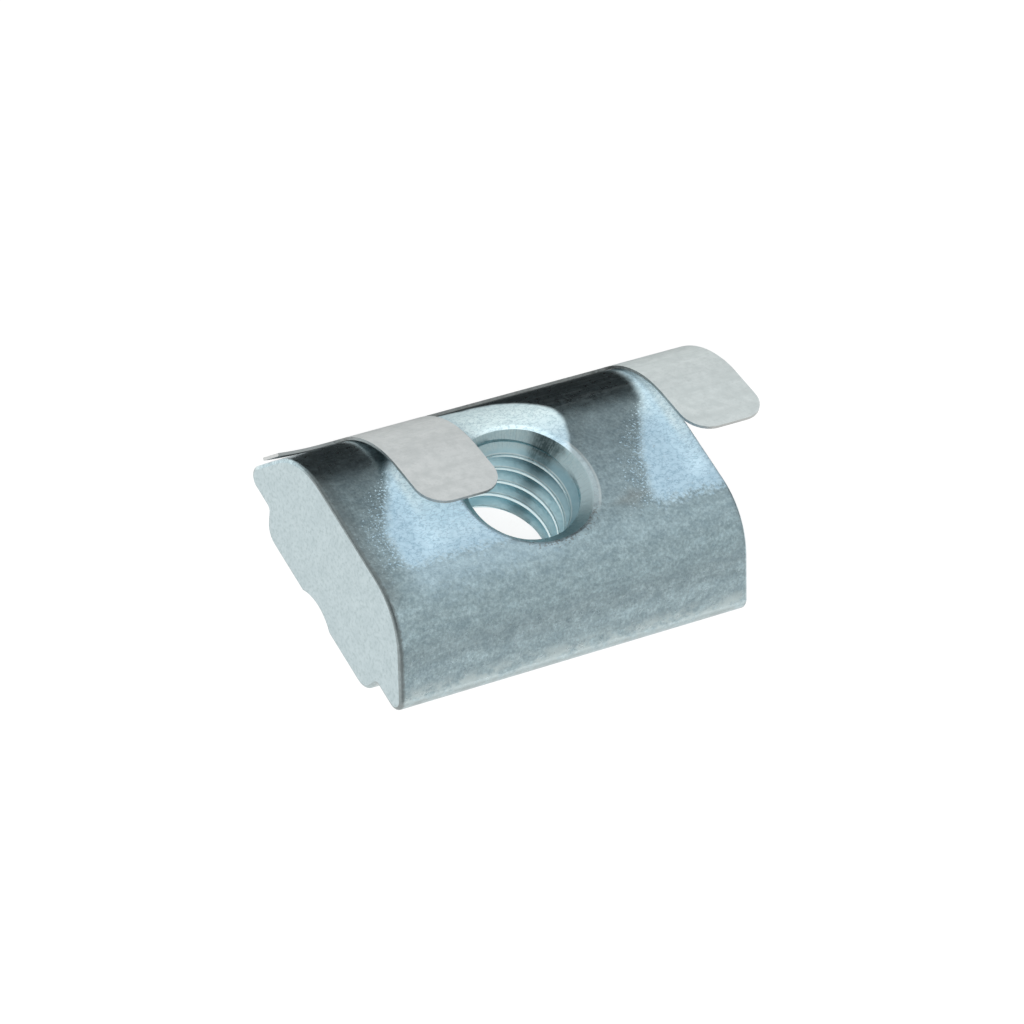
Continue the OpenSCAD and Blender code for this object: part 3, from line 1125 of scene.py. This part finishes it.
# In the order of OUTER_FACE, SHEET_EDGE and INNER_FACE
spring = make_spring([make_steel(), make_steel_edge(), make_steel_inner()])
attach(spring, "root")
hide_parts("spring_sheet")

# Camera at the photograph's angle: its axes in the part's frame, and the part's origin along them
RIGHT = Vector((0.83208223, -0.48273142, 0.27314746))
DOWN = Vector((-0.23544838, -0.75330882, -0.61407645))
AHEAD = Vector((0.50219839, 0.44664997, -0.74047321))
ORIGIN = Vector((-0.8356, 1.9125, 229.2986))
SENSOR = 36
IMAGE_PIXELS = 1024
FOCAL_PIXELS = 6006
CLIP_START = 0.001

# Studio, in metres: a white floor, a pale tent and a black flag that only reflections see, and soft lamps
FLOOR_HALF = 2.0
FLOOR_COLOUR = (0.2, 0.2, 0.2, 1)
FLOOR_GLOW = 0.86
AMBIENT = 0.35
TENT_RADIUS = 0.6
TENT_SEGMENTS = 48
TENT_RINGS = 24
TENT_FOOT = -0.001
TENT_COLOUR = (0.95, 0.99, 1.0, 1)
# Direction, in X and Y, of the dark gap at the tent's back right
GAP_DIRECTION = (0.56, 0.83)
OPENING_LIGHT = 0.08
# Section of the flag in Y and Z, and its reach in X, in millimetres
FLAG = [(7.5, 0.05), (24.0, 0.05), (28.0, 2.0), (30.0, 14.0)]
FLAG_REACH = (-4.0, 45.0)
FLAG_COLOUR = (0.015, 0.015, 0.015, 1)
LAMP_SIZE = 0.30
LAMP_TARGET = Vector((0, 0, 0.003))
KEY_PLACE = Vector((0.02, 0.34, 0.30))
KEY_WATTS = 1.05
FILL_PLACE = Vector((-0.26, -0.26, 0.26))
FILL_WATTS = 2.55


def sees_background(n):
    """1 for the rays that should see the white background: camera, glossy and transmission."""
    path = n.add("ShaderNodeLightPath").outputs
    return n.largest(path["Is Camera Ray"], path["Is Glossy Ray"], path["Is Transmission Ray"])


def only_reflected(obj):
    """Hides an object from all rays but those of reflections."""
    obj.visible_camera = False
    obj.visible_diffuse = False
    obj.visible_shadow = False
    obj.visible_transmission = False


def make_floor():
    material, n = new_nodes("floor")
    diffuse = n.add("ShaderNodeBsdfDiffuse")
    n.put(diffuse.inputs["Color"], FLOOR_COLOUR)
    glow = n.add("ShaderNodeEmission")
    n.put(glow.inputs["Strength"], n.product(sees_background(n), FLOOR_GLOW))
    both = n.add("ShaderNodeAddShader")
    n.put(both.inputs[0], diffuse.outputs[0])
    n.put(both.inputs[1], glow.outputs[0])
    n.finish(both)
    material.cycles.emission_sampling = "NONE"
    mesh = bpy.data.meshes.new("floor")
    corners = ((-1, -1), (1, -1), (1, 1), (-1, 1))
    mesh.from_pydata([(x * FLOOR_HALF, y * FLOOR_HALF, 0) for x, y in corners], [], [(0, 1, 2, 3)])
    mesh.materials.append(material)
    return add_object("floor", mesh)


def make_world():
    world = bpy.data.worlds.new("world")
    bpy.context.scene.world = world
    world.use_nodes = True
    n = Nodes(world.node_tree)
    background = n.add("ShaderNodeBackground")
    strength = n.ramp(sees_background(n), 0, 1, AMBIENT, 1.0, smooth=False)
    n.put(background.inputs["Strength"], strength)
    n.finish(background, "ShaderNodeOutputWorld")


def tent_light(n):
    """Strength of the tent's light, by direction from the part."""
    direction = n.add("ShaderNodeVectorMath", operation="NORMALIZE")
    n.put(direction.inputs[0], n.add("ShaderNodeTexCoord").outputs["Object"])
    dx, dy, dz = n.parts(direction.outputs[0])
    gap_x, gap_y = GAP_DIRECTION
    toward_gap = n.total(n.product(dx, gap_x), n.product(dy, gap_y))
    in_gap = n.product(n.ramp(toward_gap, 0.34, 0.62), n.ramp(dx, -0.12, 0.2))
    behind = n.total(n.ramp(dz, 0.36, 0.74, 0.02, 0.36), n.ramp(dz, 0.72, 0.88, 0.0, 0.30))
    before = n.total(n.ramp(dz, 0.0, 0.24, 0.28, 0.49), n.ramp(dz, 0.2, 0.85, 0.0, 0.19))
    light = n.ramp(in_gap, 0.0, 1.0, before, behind, smooth=False)
    # The dark opening that the camera looks through
    toward_camera = n.total(*(n.product(d, -ahead) for d, ahead in zip((dx, dy, dz), AHEAD)))
    return n.ramp(toward_camera, 0.93, 0.985, light, OPENING_LIGHT)


def make_tent():
    material, n = new_nodes("tent")
    glow = n.add("ShaderNodeEmission")
    n.put(glow.inputs["Color"], TENT_COLOUR)
    n.put(glow.inputs["Strength"], tent_light(n))
    n.finish(glow)
    material.cycles.emission_sampling = "NONE"
    mesh = bpy.data.meshes.new("tent")
    work = bmesh.new()
    bmesh.ops.create_uvsphere(work, u_segments=TENT_SEGMENTS, v_segments=TENT_RINGS, radius=TENT_RADIUS)
    bmesh.ops.delete(work, geom=[v for v in work.verts if v.co.z < TENT_FOOT], context="VERTS")
    work.to_mesh(mesh)
    work.free()
    mesh.materials.append(material)
    tent = add_object("tent", mesh)
    only_reflected(tent)
    return tent


def make_flag():
    """A black flag low behind the part."""
    material, n = new_nodes("flag")
    black = n.add("ShaderNodeBsdfDiffuse")
    n.put(black.inputs["Color"], FLAG_COLOUR)
    n.finish(black)
    mesh = bpy.data.meshes.new("flag")
    points = [(x * MM, y * MM, z * MM) for y, z in FLAG for x in FLAG_REACH]
    mesh.from_pydata(points, [], [(i, i + 1, i + 3, i + 2) for i in range(0, len(points) - 2, 2)])
    mesh.materials.append(material)
    flag = add_object("flag", mesh)
    only_reflected(flag)
    return flag


def softbox(name, place, watts):
    """A soft lamp for the matt surfaces; the tent is what the metal reflects."""
    data = bpy.data.lights.new(name, "AREA")
    data.shape = "DISK"
    data.size = LAMP_SIZE
    data.energy = watts
    lamp = add_object(name, data)
    lamp.location = place
    lamp.rotation_euler = (LAMP_TARGET - place).to_track_quat("-Z", "Y").to_euler()
    lamp.visible_glossy = False


def make_camera():
    data = bpy.data.cameras.new("camera")
    data.sensor_width = SENSOR
    data.lens = SENSOR * FOCAL_PIXELS / IMAGE_PIXELS
    data.clip_start = CLIP_START
    camera = add_object("camera", data)
    turn = Matrix((RIGHT, -DOWN, -AHEAD)).transposed()
    place = -(RIGHT * ORIGIN.x + DOWN * ORIGIN.y + AHEAD * ORIGIN.z) * MM
    camera.matrix_world = Matrix.Translation(place) @ turn.to_4x4()
    bpy.context.scene.camera = camera


make_floor()
make_world()
make_tent()
make_flag()
softbox("key", KEY_PLACE, KEY_WATTS)
softbox("fill", FILL_PLACE, FILL_WATTS)
make_camera()
bpy.context.scene.view_settings.view_transform = "Standard"
